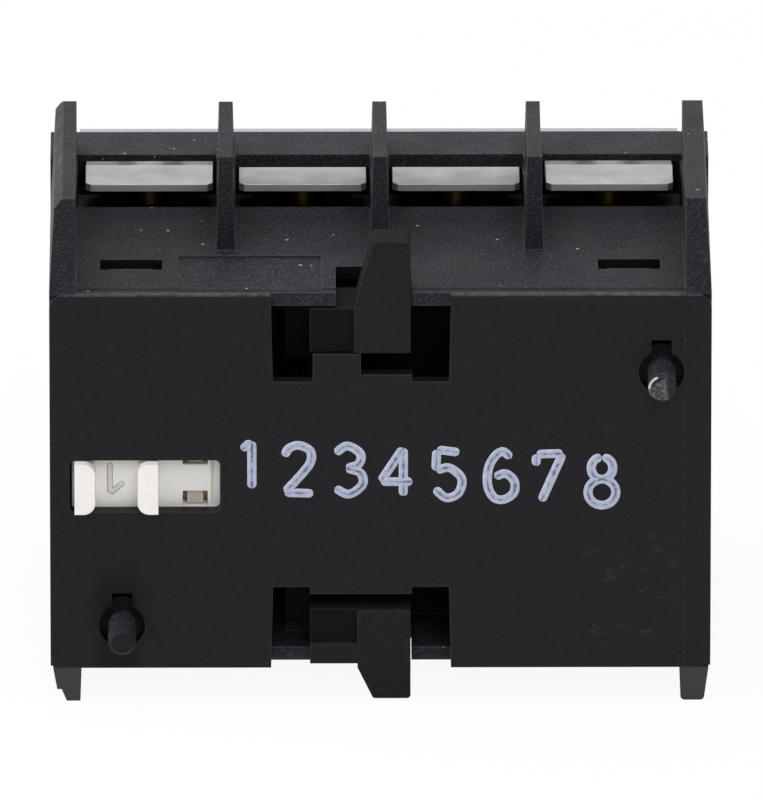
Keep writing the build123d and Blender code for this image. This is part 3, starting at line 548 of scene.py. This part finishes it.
def bead(line, half, rise, around=10):
    """Flat closed bead along a line: its section is an ellipse, which shrinks as a circle does near both
    ends. Gives vertices of across, up and the share across, and the faces."""
    step = np.linalg.norm(np.diff(line, axis=0), axis=1)
    run = np.concatenate([[0], np.cumsum(step)])
    from_end = np.minimum(run, run[-1] - run)
    near = np.clip(1 - from_end / half, 0, 1)
    width = half * np.sqrt(np.clip(1 - near**2, tip_share**2, 1))
    along = np.gradient(line, axis=0)
    along /= np.linalg.norm(along, axis=1)[:, None]
    side = np.stack([-along[:, 1], along[:, 0]], axis=1)
    angle = np.arange(around) * 2 * np.pi / around
    across = np.cos(angle)
    flat = line[:, None, :] + side[:, None, :] * (width[:, None] * across)[:, :, None]
    up = rise * np.sin(angle)[None, :] * (width / half)[:, None]
    share = np.broadcast_to(across, up.shape)
    i, j = np.meshgrid(np.arange(len(line) - 1), np.arange(around), indexing="ij")
    k = (j + 1) % around
    faces = np.stack([i * around + j, i * around + k, (i + 1) * around + k, (i + 1) * around + j], axis=-1)
    return np.dstack([flat, up, share]).reshape(-1, 4), faces.reshape(-1, 4)


ink, tree = new_material("stamping_ink")
across = add_node(tree, "ShaderNodeAttribute", attribute_name="across")
middle = add_node(tree, "ShaderNodeMath", {0: across.outputs["Fac"]}, operation="ABSOLUTE")
blotch = grained(tree, 0.5, -0.2, 0.25)
thick = add_node(tree, "ShaderNodeMath", {0: middle.outputs[0], 1: blotch}, operation="ADD")
cover = add_node(tree, "ShaderNodeMapRange", {"Value": thick.outputs[0], "From Min": 0.02, "From Max": 0.28})
rim = add_node(tree, "ShaderNodeMapRange", {"Value": thick.outputs[0], "From Min": 0.65, "From Max": 0.9})
base = add_node(tree, "ShaderNodeMix", {
    0: cover.outputs[0], 6: colour("#525970"), 7: colour("#a9afc4")}, data_type="RGBA")
surface = add_node(tree, "ShaderNodeBsdfPrincipled", {
    "Base Color": base.outputs[2],
    "Roughness": 0.55, "Normal": soft_edge(tree, 0.01, grained(tree, 0.12, 0, 1), 0.01)})
laid_over(tree, surface, rim.outputs[0], "#bcc2d2")
laid_over(tree, surface, grained(tree, 0.22, -0.3, 0.45), "#8a91a8")
add_node(tree, "ShaderNodeOutputMaterial", {"Surface": surface.outputs[0]})

for number, (strokes, (column, row)) in enumerate(zip(glyphs, digit_places), start=1):
    vertices, faces, count = [], [], 0
    for order, stroke in enumerate(strokes):
        line = smooth_line(stroke, stroke_points) * (digit_height - 2 * stroke_half)
        shape, quads = bead(line, stroke_half, ink_rise * (1 + rise_step * order))
        vertices.append(shape)
        faces.append(quads + count)
        count += len(shape)
    shape = np.vstack(vertices)
    left = (column - face_middle) / pixels_per_mm + stroke_half
    low = roof_z - (row - plate_top_row) / pixels_per_mm / row_scale + stroke_half
    place = np.stack([shape[:, 0] + left, face_y - shape[:, 2], shape[:, 1] + low], axis=1) * millimetre
    digit = new_piece(f"digit_{number}", place, np.vstack(faces), ink, "block")
    share = digit.data.attributes.new("across", "FLOAT", "POINT")
    share.data.foreach_set("value", shape[:, 3].astype(np.float32))

# Mark on the slider
# The slider's mould carries a small upside-down 1. On the moulding it is a low rounded ridge between
# the tabs, too low to shade itself, so its faint grey is painted shade.
mark_rise = 0.008
mark_half = 0.2
mark_points = 24
floor_depth = 1.1
mark_strokes = (((-18.42, 17.0), (-18.42, 14.73)), ((-18.42, 14.73), (-17.44, 15.6)))
shaded_mark_acetal, *_ = moulding("mark_shade_acetal", "#d2cfc8", "#dad8d0", 0.5, 0.002, 0.5, 0.3, 0.05)
for number, stroke in enumerate(mark_strokes, start=1):
    shape, quads = bead(smooth_line(stroke, mark_points), mark_half, mark_rise)
    place = np.stack([shape[:, 0], face_y + floor_depth - shape[:, 2], shape[:, 1]], axis=1) * millimetre
    new_piece(f"slider_mark_{number}", place, quads, shaded_mark_acetal, "actuator")

# Burr on the broken pin
# The right locating pin is broken off. A sliver of torn polyamide, pale where it was stretched, stands
# on the upper left of its rim.
burr_centre = np.array([19.1, 23.9])
burr_radius = 0.86
burr_half = 0.085
burr_rise = 0.06
burr_stand_off = 3.08
burr_turn = np.radians(np.linspace(182, 108, 24))

torn, *_ = moulding("torn_polyamide", "#a5a29f", "#c9c6c2", 0.12, 0.01, 0.6, 0.3, 0.02)
arc = burr_centre + burr_radius * np.stack([np.cos(burr_turn), np.sin(burr_turn)], axis=1)
shape, quads = bead(arc, burr_half, burr_rise)
place = np.stack([shape[:, 0], face_y - burr_stand_off - shape[:, 2], shape[:, 1]], axis=1) * millimetre
new_piece("pin_burr", place, quads, torn, "block")
